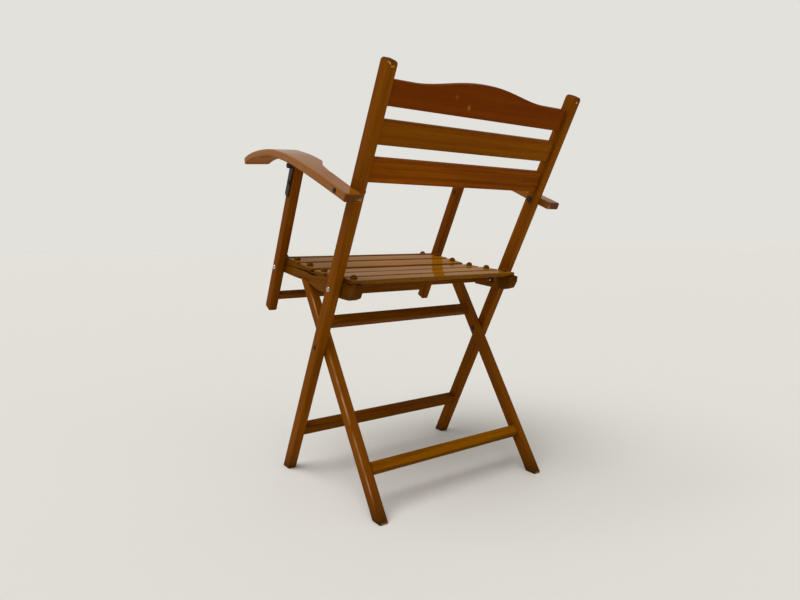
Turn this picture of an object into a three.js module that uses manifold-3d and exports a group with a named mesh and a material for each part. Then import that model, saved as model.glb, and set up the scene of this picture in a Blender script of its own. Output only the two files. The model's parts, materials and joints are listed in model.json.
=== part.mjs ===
// Folding slatted armchair in varnished wood, in millimetres, +Z up, front towards -Y, +X to the sitter's left.
import * as THREE from "three";
import { mergeVertices } from "three/addons/utils/BufferGeometryUtils.js";
import Module from "manifold-3d";

const wasm = await Module();
wasm.setup();

// Frame
const frameWidth = 460; // over the outer faces of the long legs
const stockWidth = 19.5; // sideways thickness of legs, rails and arm posts
const sideGap = 0.4; // between faces that turn past each other
const looseFit = 0.3; // round every tenon, peg and bolt
const overrun = 30; // how far a cutting body reaches past what it cuts
const edgeRound = 2.8; // rounding of the long edges of legs and posts
const middleToFoot = 158; // from the middle of the footprint to the long legs' feet

// Long legs, which run from the front feet to the top of the back
const longLegDepth = 26;
const longLegLean = 27.9; // degrees back from upright
const topDome = 14; // height over which the top is domed
const seatPivotUp = 471.3; // along the leg from its foot
const armPivotRise = 200.1; // from the seat's rear pivot to the arm's
const legAboveCrest = 29.7; // from the shoulders of the crest board to the leg's top

// Short legs, which run from the rear feet to the seat rails
const footSpread = 345.7; // between front and rear feet, along the floor
const shortLegDepth = 24;
const shortLegLean = 32.4; // degrees forward from upright
const housingDepth = 5; // how far a leg top stands in the underside of its rail
const housingPlay = 3; // room behind a leg top, so that it can swing out

// Boards of the back, measured along the long legs
const backBoardThickness = 12;
const backBoardEase = 2;
const lowerBoardClear = 18.75; // from the arm's pivot to the lower board's bottom edge
const lowerBoardHeight = 44.2;
const lowerGap = 22.95; // between the lower and the upper board
const upperBoardHeight = 42.7;
const crestGap = 22.3; // between the upper board and the crest board
const crestHeight = 42; // at its ends
const crestHump = 17.3;
const crestHumpHalf = 157;

// Stretchers, whose sections turn with the legs that carry them
const stretcherDepth = 21;
const stretcherRound = 2.5;
const frontStretcherUp = 113.4;
const frontStretcherHeight = 22.5;
const rearStretcherUp = 95.5;
const rearStretcherHeight = 23;
const upperStretcherUp = 403.4;
const upperStretcherHeight = 22;
const armStretcherDown = 75.1; // below the seat's front pivot
const armStretcherSize = 15.5;
const armStretcherRound = 2;

// Tenons
const tenonLength = 12;
const tenonShoulder = 3; // step from a piece's face down to its tenon

// Seat
const seatReach = 252.1; // between the seat's two pivots
const seatRise = 7.7; // degrees up towards the front
const railLength = 372;
const railEase = 2;
const railCheek = 8.1; // outer part of a rail, which stands beside the slats' ends
const slatThickness = 9;
const slatRound = 2.5;
const crossRailDepth = 20;
const crossRailHeight = 26;
const crossRailForward = 63.5; // its middle, in front of the rear pivot
const crossRailUp = 4; // its middle, above the rear pivot
const pegInset = 7; // from a slat's end to its pegs
const pegHeadRadius = 6.5;
const pegHeadHeight = 7.5;
const pegRadius = 2.4;
const pegInRail = 8;

// Arm posts
const armPostDepth = 24;
const armPostBelow = 110.6; // below the seat's front pivot
const armPostAbove = 42; // above the arm's front pivot
const armPostRound = 2.6; // of both ends

// Armrests
const armThickness = 15;
const armLength = 456;
const armNarrowWidth = 34.9;
const armPaddleWidth = 59.9;
const armStepWidth = 17; // sideways depth of the sloping step on the inner edge
const armStepRun = 33;
const armStepForward = 123; // from the rear pivot, where the step starts
const armFlareForward = 80; // from the rear pivot, where the narrow part starts to widen
const armEase = 3;
const armCornerRound = 8; // of the paddle's front corners, seen from above

// Iron straps of the armrests
const strapWidth = 15;
const strapThickness = 3;
const strapBelow = 32; // below the pin
const leafWidth = 21;
const leafHalfRun = 22;
const knuckleRadius = 5.5;
const knuckleLength = 12;
const knuckleGap = 4.7; // between the knuckle and the leaf above it
const knuckleForward = 4;
const strapRound = 1.2; // of the tongue's long edges
const strapPlay = 0.4; // round the pin, where the linkage of the arms is opened

// Bolts and nuts
const boltRadius = 3;
const rivetHeadRadius = 5.5;
const rivetHeadHeight = 3.5;
const boltHeadRadius = 5;
const boltHeadHeight = 2.4;
const nutRadius = 6.4;
const nutThickness = 4.5;
const boltTail = 1.2; // past the nut

// Outline of a rail from the rear pivot, as shares of the rail's length: along to the rear, then up
const railTopShares = [
  [-0.785, 0.122], [-0.73, 0.137], [-0.659, 0.138], [-0.556, 0.128], [-0.433, 0.1065],
  [-0.312, 0.082], [-0.191, 0.065], [-0.067, 0.058], [0.04, 0.051], [0.17, 0.037],
];
const railBottomShares = [
  [0.1, -0.044], [0.035, -0.0395], [-0.126, -0.0175], [-0.2366, -0.001],
  [-0.4086, 0.0275], [-0.6505, 0.0575], [-0.775, 0.066],
];
const railRearCornerShare = [0.176, -0.041];
const railFrontCornerShares = [[-0.822, 0.068], [-0.826, 0.112]];

// Seat slats from front to rear, as shares of the rail's length from the rear pivot:
// along, up to the top face, width, and fall towards the rear for each unit of run
const slatShares = [
  [-0.718, 0.144, 0.134, -0.12],
  [-0.552, 0.1335, 0.145, 0.14],
  [-0.391, 0.1062, 0.145, 0.19],
  [-0.2215, 0.08, 0.124, 0.1],
  [-0.063, 0.0675, 0.145, 0.075],
  [0.0945, 0.0545, 0.11, 0.1],
];

// Middle line of an armrest from its rear pivot, as shares of the armrest's length: along, then up
const armLineShares = [
  [0.0723, -0.0344], [0.0075, -0.0064], [-0.1917, 0.0762], [-0.3312, 0.131], [-0.4407, 0.1686],
  [-0.5304, 0.1925], [-0.6001, 0.2073], [-0.6957, 0.2169], [-0.7894, 0.219], [-0.8591, 0.2141],
  [-0.9054, 0.205],
];

const brownVarnish = { color: 0x8a5418, roughness: 0.35, metalness: 0 };
const darkVarnish = { color: 0x6d3c10, roughness: 0.35, metalness: 0 };
const paleVarnish = { color: 0xa8743f, roughness: 0.28, metalness: 0 };
const brightSteel = { color: 0xc9c6bf, roughness: 0.25, metalness: 0.95 };
const darkIron = { color: 0x3b342e, roughness: 0.6, metalness: 0.8 };

const chair = new THREE.Group();
const frameHalf = frameWidth / 2;
const legInner = frameHalf - stockWidth;
const railOuter = legInner - sideGap;
const railInner = railOuter - stockWidth;
const slatHalfLength = railOuter - railCheek;
const armInner = frameHalf + sideGap;
const armOuter = armInner + armNarrowWidth;
const armPivotUp = seatPivotUp + armPivotRise;
const lowerBoardUp = armPivotUp + lowerBoardClear + lowerBoardHeight / 2;
const upperBoardUp = lowerBoardUp + lowerBoardHeight / 2 + lowerGap + upperBoardHeight / 2;
const crestUp = upperBoardUp + upperBoardHeight / 2 + crestGap + crestHeight / 2;
const longLegLength = crestUp + crestHeight / 2 + legAboveCrest;

// Points and directions of the side view are Vector2(y, z)
const upAlong = (degrees) => {
  const lean = THREE.MathUtils.degToRad(degrees);
  return new THREE.Vector2(Math.sin(lean), Math.cos(lean));
};
const squareTo = (direction) => new THREE.Vector2(direction.y, -direction.x);
const step = (from, direction, distance) => from.clone().addScaledVector(direction, distance);
const meet = (from, way, other, otherWay) =>
  step(from, way, other.clone().sub(from).cross(otherWay) / way.cross(otherWay));

const longFoot = new THREE.Vector2(-middleToFoot, 0);
const longWay = upAlong(longLegLean);
const shortFoot = new THREE.Vector2(footSpread - middleToFoot, 0);
const shortWay = upAlong(-shortLegLean);
const crossPivot = meet(longFoot, longWay, shortFoot, shortWay);
const seatRearPivot = step(longFoot, longWay, seatPivotUp);
const seatWay = upAlong(seatRise - 90);
const seatFrontPivot = step(seatRearPivot, seatWay, seatReach);
const armRearPivot = step(longFoot, longWay, armPivotUp);
const armFrontPivot = seatFrontPivot.clone().add(armRearPivot).sub(seatRearPivot);

// Solid of a closed geometry
function solid(geometry) {
  const bare = geometry.clone();
  bare.deleteAttribute("normal");
  bare.deleteAttribute("uv");
  const merged = mergeVertices(bare, 1e-4);
  return new wasm.Manifold(new wasm.Mesh({
    numProp: 3,
    vertProperties: merged.attributes.position.array,
    triVerts: new Uint32Array(merged.index.array),
  }));
}

// Geometry of a solid
function geometryOf(body) {
  const made = body.getMesh();
  const geometry = new THREE.BufferGeometry();
  geometry.setAttribute("position", new THREE.BufferAttribute(made.vertProperties, 3));
  geometry.setIndex(new THREE.BufferAttribute(made.triVerts, 1));
  geometry.computeVertexNormals();
  return geometry;
}

function add(name, body, finish) {
  const mesh = new THREE.Mesh(geometryOf(body), new THREE.MeshStandardMaterial(finish));
  mesh.name = name;
  chair.add(mesh);
  return mesh;
}

// The same piece on the left and, mirrored, on the right
function addPair(name, body, finish) {
  add(`${name}_left`, body, finish);
  add(`${name}_right`, body, finish).scale.x = -1;
}

function roundedRectangle(width, height, radius) {
  const x = width / 2 - radius;
  const y = height / 2 - radius;
  const quarter = Math.PI / 2;
  const shape = new THREE.Shape();
  shape.absarc(x, -y, radius, -quarter, 0);
  shape.absarc(x, y, radius, 0, quarter);
  shape.absarc(-x, y, radius, quarter, 2 * quarter);
  shape.absarc(-x, -y, radius, 2 * quarter, 3 * quarter);
  return shape;
}

// Shape drawn out along Z, centred there, with its end edges eased
function drawOut(shape, depth, ease) {
  const options = { depth: depth - 2 * ease, curveSegments: 3, bevelEnabled: ease > 0 };
  Object.assign(options, { bevelThickness: ease, bevelSize: ease, bevelOffset: -ease, bevelSegments: 2 });
  return new THREE.ExtrudeGeometry(shape, options).translate(0, 0, ease - depth / 2);
}

// Bar with rounded long edges from one height to another along Z
function bar(width, depth, round, from, to, endRound = 0) {
  const geometry = drawOut(roundedRectangle(width, depth, round), to - from, endRound);
  return geometry.translate(0, 0, (from + to) / 2);
}

// Shape drawn in the side view (y, z), between two sideways places
function sidePiece(shape, from, to, ease) {
  const turn = new THREE.Matrix4().makeBasis(
    new THREE.Vector3(0, 1, 0), new THREE.Vector3(0, 0, 1), new THREE.Vector3(1, 0, 0));
  return drawOut(shape, to - from, ease).applyMatrix4(turn).translate((from + to) / 2, 0, 0);
}

// Geometry built along Z, turned to a direction of the side view and moved to a point there
function stand(geometry, way, point) {
  const lean = Math.atan2(way.x, way.y);
  return geometry.rotateX(-lean).translate(0, point.x, point.y);
}

function boltHole(point, radius) {
  const length = 2 * (frameHalf + overrun + armNarrowWidth);
  const hole = new THREE.CylinderGeometry(radius, radius, length, 16).rotateZ(Math.PI / 2);
  return solid(hole.translate(0, point.x, point.y));
}

// Core that runs through a piece across the chair and ends in a tenon at each side
const tenon = (halfSpan, depth, height, clearance = 0) =>
  new THREE.BoxGeometry(
    2 * (halfSpan + tenonLength + clearance),
    depth - 2 * tenonShoulder + 2 * clearance,
    height - 2 * tenonShoulder + 2 * clearance);

// Stretcher across the chair between two inner faces
function stretcher(halfSpan, depth, height, round, way, point) {
  const reach = halfSpan - looseFit;
  const body = bar(height, depth, round, -reach, reach).rotateY(Math.PI / 2);
  const core = tenon(reach, depth, height);
  return solid(stand(body, way, point)).add(solid(stand(core, way, point)));
}

const socket = (halfSpan, depth, height, way, point) =>
  solid(stand(tenon(halfSpan, depth, height, looseFit), way, point));

// Boards of the back, drawn sideways and up and then laid along the long legs
function backBoard(height, hump, up) {
  const half = legInner - looseFit;
  const shape = new THREE.Shape();
  shape.moveTo(-half, -height / 2);
  shape.lineTo(half, -height / 2);
  shape.lineTo(half, height / 2);
  if (hump > 0) {
    const waves = 24;
    for (let i = 0; i <= waves; i++) {
      const place = 1 - (2 * i) / waves;
      const lift = (hump * (1 + Math.cos(Math.PI * place))) / 2;
      shape.lineTo(crestHumpHalf * place, height / 2 + lift);
    }
  }
  shape.lineTo(-half, height / 2);
  const board = drawOut(shape, backBoardThickness, backBoardEase).rotateX(Math.PI / 2);
  const place = step(longFoot, longWay, up);
  const core = tenon(half, backBoardThickness, height);
  return solid(stand(board, longWay, place)).add(solid(stand(core, longWay, place)));
}

// Bar along Z whose upper end is domed by an ellipsoid rather wider than the bar
function domedBar(width, depth, round, from, to, height) {
  const widerShare = 0.72;
  const ball = new THREE.SphereGeometry(1, 24, 16).rotateX(Math.PI / 2);
  ball.scale(widerShare * width, widerShare * depth, height).translate(0, 0, to - height);
  const end = solid(bar(width, depth, round, to - 2 * height, to)).intersect(solid(ball));
  return geometryOf(solid(bar(width, depth, round, from, to - height)).add(end));
}

function longLeg() {
  const leg = domedBar(stockWidth, longLegDepth, edgeRound, -overrun, longLegLength, topDome);
  const middle = frameHalf - stockWidth / 2;
  let body = solid(stand(leg.translate(middle, 0, 0), longWay, longFoot));
  body = body.subtract(floorBlock());
  for (const pivot of [seatRearPivot, armRearPivot, crossPivot])
    body = body.subtract(boltHole(pivot, boltRadius + looseFit));
  const joints = [
    [backBoardThickness, crestHeight, crestUp],
    [backBoardThickness, upperBoardHeight, upperBoardUp],
    [backBoardThickness, lowerBoardHeight, lowerBoardUp],
    [stretcherDepth, frontStretcherHeight, frontStretcherUp],
  ];
  for (const [depth, height, up] of joints)
    body = body.subtract(socket(legInner, depth, height, longWay, step(longFoot, longWay, up)));
  return body;
}

// Everything below the floor
function floorBlock() {
  const size = longLegLength + overrun;
  return solid(new THREE.BoxGeometry(2 * size, 2 * size, size).translate(0, 0, -size / 2));
}

// Point of the side view from shares of the rail's length
const railPoint = ([along, up]) =>
  new THREE.Vector2(along, up).multiplyScalar(railLength).add(seatRearPivot);

// Rail outline with a spline for each long edge
function railShape() {
  const top = railTopShares.map(railPoint).reverse();
  const bottom = railBottomShares.map(railPoint);
  const [frontLow, frontHigh] = railFrontCornerShares.map(railPoint);
  const rearCorner = railPoint(railRearCornerShare);
  const shape = new THREE.Shape();
  shape.moveTo(top[0].x, top[0].y);
  shape.splineThru(top.slice(1));
  shape.bezierCurveTo(frontHigh.x, frontHigh.y, frontLow.x, frontLow.y, bottom.at(-1).x, bottom.at(-1).y);
  shape.splineThru(bottom.reverse().slice(1));
  shape.quadraticCurveTo(rearCorner.x, rearCorner.y, top[0].x, top[0].y);
  return shape;
}

// Place, direction to the rear and width of each slat's top face
const slatPlaces = slatShares.map(([along, up, width, fall]) => {
  const middle = railPoint([along, up]);
  const rearward = new THREE.Vector2(1, -fall).normalize();
  const upward = new THREE.Vector2(fall, 1).normalize();
  return { middle, rearward, upward, width: width * railLength };
});

// Room for the slats along the inner side of a rail: a flat seat under each slat
function slatBedCut() {
  const shape = new THREE.Shape();
  const bed = [];
  for (const { middle, rearward, upward, width } of slatPlaces) {
    const under = step(middle, upward, -slatThickness - looseFit);
    bed.push(step(under, rearward, -width / 2 - looseFit), step(under, rearward, width / 2 + looseFit));
  }
  bed.unshift(step(bed[0], slatPlaces[0].rearward, -overrun));
  bed.push(step(bed.at(-1), slatPlaces.at(-1).rearward, overrun));
  const ceiling = seatFrontPivot.y + overrun + slatThickness;
  shape.moveTo(bed[0].x, ceiling);
  for (const point of bed) shape.lineTo(point.x, point.y);
  shape.lineTo(bed.at(-1).x, ceiling);
  return solid(sidePiece(shape, railInner - overrun, slatHalfLength + looseFit, 0));
}

// Line of the side view through the two points of a rail's underside on either side of the
// short leg, raised by a given amount
function railUnderside(raise) {
  const points = railBottomShares.map(railPoint);
  const ahead = points.findIndex((point) => {
    const legThere = step(shortFoot, shortWay, point.y / shortWay.y);
    return point.x < legThere.x;
  });
  const way = points[ahead].clone().sub(points[ahead - 1]).normalize();
  const upward = squareTo(way);
  return { point: step(points[ahead - 1], upward, raise), way, upward };
}

// Everything above a line of the side view
function blockAbove({ point, way, upward }) {
  const size = railLength;
  const corners = [
    step(point, way, -size), step(point, way, size),
    step(step(point, way, size), upward, size), step(step(point, way, -size), upward, size),
  ];
  return solid(sidePiece(new THREE.Shape(corners), -frameHalf - overrun, frameHalf + overrun, 0));
}

function shortLeg() {
  const length = (seatFrontPivot.y + overrun) / shortWay.y;
  const blank = bar(stockWidth, shortLegDepth, edgeRound, -overrun, length);
  const standing = stand(blank.translate(railOuter - stockWidth / 2, 0, 0), shortWay, shortFoot);
  let body = solid(standing).subtract(floorBlock());
  body = body.subtract(blockAbove(railUnderside(housingDepth - looseFit)));
  body = body.subtract(boltHole(crossPivot, boltRadius + looseFit));
  const joints = [
    [stretcherDepth, rearStretcherHeight, rearStretcherUp],
    [stretcherDepth, upperStretcherHeight, upperStretcherUp],
  ];
  for (const [depth, height, up] of joints)
    body = body.subtract(socket(railInner, depth, height, shortWay, step(shortFoot, shortWay, up)));
  return body;
}

// Housing in the underside of a rail, where the top of a short leg stands against a front shoulder
function legHousing() {
  const face = railUnderside(0);
  const roof = railUnderside(housingDepth);
  const across = squareTo(shortWay);
  const frontEdge = meet(step(shortFoot, across, -shortLegDepth / 2), shortWay, roof.point, roof.way);
  const rearEdge = meet(step(shortFoot, across, shortLegDepth / 2), shortWay, face.point, face.way);
  const from = frontEdge.x - looseFit;
  const to = rearEdge.x + housingPlay;
  const corners = [
    new THREE.Vector2(from, face.point.y - overrun), new THREE.Vector2(to, face.point.y - overrun),
    new THREE.Vector2(to, face.point.y + overrun), new THREE.Vector2(from, face.point.y + overrun),
  ];
  const column = solid(sidePiece(new THREE.Shape(corners), railInner - overrun, railOuter + overrun, 0));
  return column.subtract(blockAbove(roof));
}

const crossRailMiddle = new THREE.Vector2(-crossRailForward, crossRailUp).add(seatRearPivot);

function seatRail() {
  let body = solid(sidePiece(railShape(), railInner, railOuter, railEase));
  body = body.subtract(slatBedCut()).subtract(legHousing());
  for (const pivot of [seatRearPivot, seatFrontPivot])
    body = body.subtract(boltHole(pivot, boltRadius + looseFit));
  for (const place of slatPlaces) body = body.subtract(pegHole(place));
  const across = socket(railInner, crossRailDepth, crossRailHeight, upAlong(0), crossRailMiddle);
  return body.subtract(across);
}

function slat({ middle, rearward, upward, width }) {
  const body = bar(slatThickness, width, slatRound, -slatHalfLength, slatHalfLength).rotateY(Math.PI / 2);
  const made = solid(stand(body, upward, step(middle, upward, -slatThickness / 2)));
  const hole = pegHole({ middle, rearward, upward, width });
  return made.subtract(hole).subtract(mirrored(hole));
}

const mirrored = (body) => body.mirror([1, 0, 0]);

function pegHole({ middle, upward }) {
  const radius = pegRadius + looseFit;
  const length = 2 * (slatThickness + pegInRail + looseFit);
  const hole = new THREE.CylinderGeometry(radius, radius, length, 12).rotateX(Math.PI / 2);
  return solid(stand(hole.translate(slatHalfLength - pegInset, 0, 0), upward, middle));
}

// Round peg with a domed head, turned about its own axis
function peg({ middle, upward }) {
  const profile = [new THREE.Vector2(0, -slatThickness - pegInRail)];
  profile.push(new THREE.Vector2(pegRadius, -slatThickness - pegInRail));
  profile.push(new THREE.Vector2(pegRadius, looseFit));
  profile.push(...dome(pegHeadRadius, pegHeadHeight, looseFit));
  const body = new THREE.LatheGeometry(profile, 16).rotateX(Math.PI / 2);
  return solid(stand(body.translate(slatHalfLength - pegInset, 0, 0), upward, middle));
}

// Profile of a domed head from its rim to the axis, above a given height
function dome(radius, height, above) {
  const points = [];
  const parts = 4;
  for (let i = 0; i < parts; i++) {
    const angle = (Math.PI / 2) * (i / parts);
    points.push(new THREE.Vector2(radius * Math.cos(angle), above + height * Math.sin(angle)));
  }
  points.push(new THREE.Vector2(0, above + height));
  return points;
}

function armPost() {
  const below = armPostBelow;
  const above = armFrontPivot.distanceTo(seatFrontPivot) + armPostAbove;
  const blank = bar(stockWidth, armPostDepth, edgeRound, -below, above, armPostRound);
  let body = solid(stand(blank.translate(frameHalf - stockWidth / 2, 0, 0), longWay, seatFrontPivot));
  for (const pivot of [seatFrontPivot, armFrontPivot])
    body = body.subtract(boltHole(pivot, boltRadius + looseFit));
  const joint = step(seatFrontPivot, longWay, -armStretcherDown);
  return body.subtract(socket(legInner, armStretcherSize, armStretcherSize, longWay, joint));
}

// Middle line of an armrest, from rear to front
const armLine = new THREE.SplineCurve(armLineShares.map(([along, up]) =>
  new THREE.Vector2(along, up).multiplyScalar(armLength).add(armRearPivot)));

// Band along that line between two heights square to it, with points to add at its front end
function armBand(from, to, top, bottom, frontEnd = []) {
  const parts = 28;
  const upper = [];
  const lower = [];
  for (let i = 0; i <= parts; i++) {
    const share = from + ((to - from) * i) / parts;
    const point = armLine.getPointAt(share);
    const upward = squareTo(armLine.getTangentAt(share));
    upper.push(step(point, upward, top));
    lower.push(step(point, upward, bottom));
  }
  return new THREE.Shape([...upper, ...frontEnd, ...lower.reverse()]);
}

// Foremost point of the armrest, half a thickness past the end of its line
const armNose = step(armLine.getPointAt(1), armLine.getTangentAt(1), armThickness / 2);

// Inner side of the paddle seen from above, with the sloping step behind it
function paddleOutline() {
  const innerEdge = armOuter - armPaddleWidth;
  const stepEdge = innerEdge + armStepWidth;
  const front = armNose.x;
  const stepEnd = armRearPivot.x - armStepForward;
  const shape = new THREE.Shape();
  shape.moveTo(armOuter, armRearPivot.x - armFlareForward);
  shape.lineTo(armInner, armRearPivot.x - armFlareForward);
  shape.lineTo(stepEdge, stepEnd);
  shape.lineTo(innerEdge, stepEnd - armStepRun);
  shape.lineTo(innerEdge, front + armCornerRound);
  shape.quadraticCurveTo(innerEdge, front, innerEdge + armCornerRound, front);
  shape.lineTo(armOuter, front);
  return shape;
}

function armrest() {
  const half = armThickness / 2;
  const band = armBand(0, 1, half, -half, [armNose]);
  const narrow = solid(sidePiece(band, armInner, armOuter, armEase));
  const wide = solid(sidePiece(band, armOuter - armPaddleWidth, armOuter, armEase));
  const plan = solid(drawOut(paddleOutline(), 2 * (armRearPivot.y + armLength), 0));
  return narrow.add(wide.intersect(plan)).subtract(boltHole(armRearPivot, boltRadius + looseFit));
}

// Iron strap: a leaf under the armrest, a knuckle, and a tongue that takes the pin
function armStrap() {
  const over = armShareOver(armFrontPivot);
  const rise = armLine.getPointAt(over).distanceTo(armFrontPivot);
  const run = leafHalfRun / armLine.getLength();
  const top = -armThickness / 2 - looseFit;
  const from = frameHalf + looseFit;
  const leaf = sidePiece(armBand(over - run, over + run, top, top - strapThickness), from, from + leafWidth, 0);
  const room = solid(sidePiece(armBand(0, 1, armLength, top), 0, frameHalf + armNarrowWidth + overrun, 0));
  const tongue = bar(strapWidth, strapThickness, strapRound, -strapBelow, rise)
    .rotateZ(Math.PI / 2).translate(from + strapThickness / 2, 0, 0);
  const knuckleUp = rise + top - strapThickness - knuckleGap - knuckleRadius;
  const knuckle = new THREE.CylinderGeometry(knuckleRadius, knuckleRadius, knuckleLength, 20)
    .rotateZ(Math.PI / 2).translate(from + knuckleLength / 2, -knuckleForward, knuckleUp);
  let body = solid(stand(tongue, longWay, armFrontPivot)).subtract(room);
  body = body.add(solid(leaf)).add(solid(stand(knuckle, longWay, armFrontPivot)));
  return body.subtract(boltHole(armFrontPivot, boltRadius + strapPlay));
}

// Share of the armrest's line at which a line through a pivot, along the long leg, meets it
function armShareOver(pivot) {
  let low = 0;
  let high = 1;
  while (high - low > 1e-4) {
    const middle = (low + high) / 2;
    const away = armLine.getPointAt(middle).sub(pivot);
    if (away.cross(longWay) > 0) low = middle;
    else high = middle;
  }
  return low;
}

// Bolt through a pivot, from a head on the outside to a tail past its nut
function bolt(point, outer, inner, headRadius, headHeight) {
  const start = outer + looseFit;
  const length = start - inner + looseFit + nutThickness + boltTail;
  const profile = [
    new THREE.Vector2(0, -length),
    new THREE.Vector2(boltRadius, -length),
    new THREE.Vector2(boltRadius, 0),
    ...dome(headRadius, headHeight, 0),
  ];
  const body = new THREE.LatheGeometry(profile, 18).rotateZ(-Math.PI / 2);
  return solid(body.translate(start, point.x, point.y));
}

function nut(point, inner) {
  const shape = new THREE.Shape();
  for (let i = 0; i < 6; i++) {
    const angle = (Math.PI / 3) * i;
    const corner = new THREE.Vector2(Math.cos(angle), Math.sin(angle)).multiplyScalar(nutRadius).add(point);
    if (i === 0) shape.moveTo(corner.x, corner.y);
    else shape.lineTo(corner.x, corner.y);
  }
  const face = inner - looseFit;
  const blank = solid(sidePiece(shape, face - nutThickness, face, 0));
  return blank.subtract(boltHole(point, boltRadius + looseFit));
}

function addBolt(name, point, outer, inner, headRadius, headHeight, finish) {
  addPair(`${name}_bolt`, bolt(point, outer, inner, headRadius, headHeight), finish);
  addPair(`${name}_nut`, nut(point, inner), darkIron);
}

// Back frame
addPair("long_leg", longLeg(), brownVarnish);
add("crest_board", backBoard(crestHeight, crestHump, crestUp), darkVarnish);
add("upper_back_board", backBoard(upperBoardHeight, 0, upperBoardUp), darkVarnish);
add("lower_back_board", backBoard(lowerBoardHeight, 0, lowerBoardUp), darkVarnish);
add("front_stretcher", stretcher(legInner, stretcherDepth, frontStretcherHeight, stretcherRound,
  longWay, step(longFoot, longWay, frontStretcherUp)), darkVarnish);

// Short leg frame
addPair("short_leg", shortLeg(), brownVarnish);
add("rear_stretcher", stretcher(railInner, stretcherDepth, rearStretcherHeight, stretcherRound,
  shortWay, step(shortFoot, shortWay, rearStretcherUp)), brownVarnish);
add("upper_stretcher", stretcher(railInner, stretcherDepth, upperStretcherHeight, stretcherRound,
  shortWay, step(shortFoot, shortWay, upperStretcherUp)), darkVarnish);

// Seat
addPair("seat_rail", seatRail(), brownVarnish);
add("seat_cross_rail", stretcher(railInner, crossRailDepth, crossRailHeight, stretcherRound,
  upAlong(0), crossRailMiddle), darkVarnish);
slatPlaces.forEach((place, index) => {
  add(`seat_slat_${index + 1}`, slat(place), paleVarnish);
  addPair(`slat_${index + 1}_peg`, peg(place), darkVarnish);
});

// Arms
addPair("arm_post", armPost(), brownVarnish);
add("arm_stretcher", stretcher(legInner, armStretcherSize, armStretcherSize, armStretcherRound,
  longWay, step(seatFrontPivot, longWay, -armStretcherDown)), darkVarnish);
addPair("armrest", armrest(), paleVarnish);
addPair("arm_strap", armStrap(), darkIron);

// Pivots
addBolt("leg_cross", crossPivot, frameHalf, railInner, boltHeadRadius, boltHeadHeight, darkIron);
addBolt("seat_rear", seatRearPivot, frameHalf, railInner, rivetHeadRadius, rivetHeadHeight, brightSteel);
addBolt("seat_front", seatFrontPivot, frameHalf, railInner, rivetHeadRadius, rivetHeadHeight, brightSteel);
addBolt("arm_rear", armRearPivot, armOuter, legInner, boltHeadRadius, boltHeadHeight, darkIron);
addBolt("arm_front", armFrontPivot, frameHalf + looseFit + strapThickness, legInner,
  boltHeadRadius, boltHeadHeight, darkIron);

export default chair;
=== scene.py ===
import json
import math
import bmesh
import bpy
import numpy as np
from mathutils import Matrix, Vector


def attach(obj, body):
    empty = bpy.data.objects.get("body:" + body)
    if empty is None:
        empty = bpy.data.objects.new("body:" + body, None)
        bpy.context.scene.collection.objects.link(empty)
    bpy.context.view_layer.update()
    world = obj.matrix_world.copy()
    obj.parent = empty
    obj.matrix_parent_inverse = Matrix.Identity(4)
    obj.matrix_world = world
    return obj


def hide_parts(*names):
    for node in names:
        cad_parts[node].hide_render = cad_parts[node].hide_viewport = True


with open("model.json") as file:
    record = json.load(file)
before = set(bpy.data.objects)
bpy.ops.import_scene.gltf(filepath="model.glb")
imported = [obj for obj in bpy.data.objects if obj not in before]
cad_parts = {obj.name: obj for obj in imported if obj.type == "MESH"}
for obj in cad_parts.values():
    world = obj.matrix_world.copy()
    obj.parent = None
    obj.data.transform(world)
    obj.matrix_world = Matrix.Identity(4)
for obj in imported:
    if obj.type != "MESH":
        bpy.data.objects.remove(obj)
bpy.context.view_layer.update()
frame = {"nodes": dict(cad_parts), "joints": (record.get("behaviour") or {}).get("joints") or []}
pivots = {joint["name"]: np.array(joint["pos_m"]) for joint in frame["joints"]}
print("frame loaded with", len(frame["nodes"]), "nodes")

chair = {
    "halfWide": 0.230,  # to the outer face of a long leg
    "stock": 0.0195,  # sideways thickness of legs, rails and arm posts
    "sideGap": 0.0004,  # between faces that turn past each other
    "fit": 0.0003,  # where a piece meets the one that carries it
    "longLean": 27.9,  # degrees back from upright
    "shortLean": -32.4,
    "longFootY": -0.158,
    "shortFootY": 0.1877,
}


# unit direction of a lean in the side view: (0, sin lean, cos lean)
def leanWay(degrees):
    angle = math.radians(degrees)
    return np.array([0.0, math.sin(angle), math.cos(angle)])


# direction in the side view at a right angle to way: (0, z, -y)
def squareWay(way):
    return np.array([0.0, way[2], -way[1]])


legOuter = chair["halfWide"] + chair["fit"]
legInner = chair["halfWide"] - chair["stock"]
railOuter = legInner - chair["sideGap"]
railInner = railOuter - chair["stock"]
longWay, shortWay = leanWay(chair["longLean"]), leanWay(chair["shortLean"])
longFoot = np.array([0, chair["longFootY"], 0])
shortFoot = np.array([0, chair["shortFootY"], 0])
sideways = np.array([1.0, 0, 0])
seatRear, seatFront = pivots["seat_fold"], pivots["arm_frame_fold"]
armRear, legCross = pivots["left_armrest_fold"], pivots["leg_fold"]
armFront = seatFront + armRear - seatRear
seatUnit = 0.372  # places on the seat are shares of this
sides = ((1, "left"), (-1, "right"))


# point of the side view from its shares of the seat's unit, along and up from the rear pivot
def onSeat(along, up):
    return seatRear + seatUnit * np.array([0, along, up])


# value at x on the line through pairs of (x, value)
def throughPairs(x, pairs):
    return np.interp(x, *np.array(pairs).T)


# object with this data at the origin, linked to the scene
def addObject(name, data):
    item = bpy.data.objects.new(name, data)
    bpy.context.scene.collection.objects.link(item)
    return item


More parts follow.
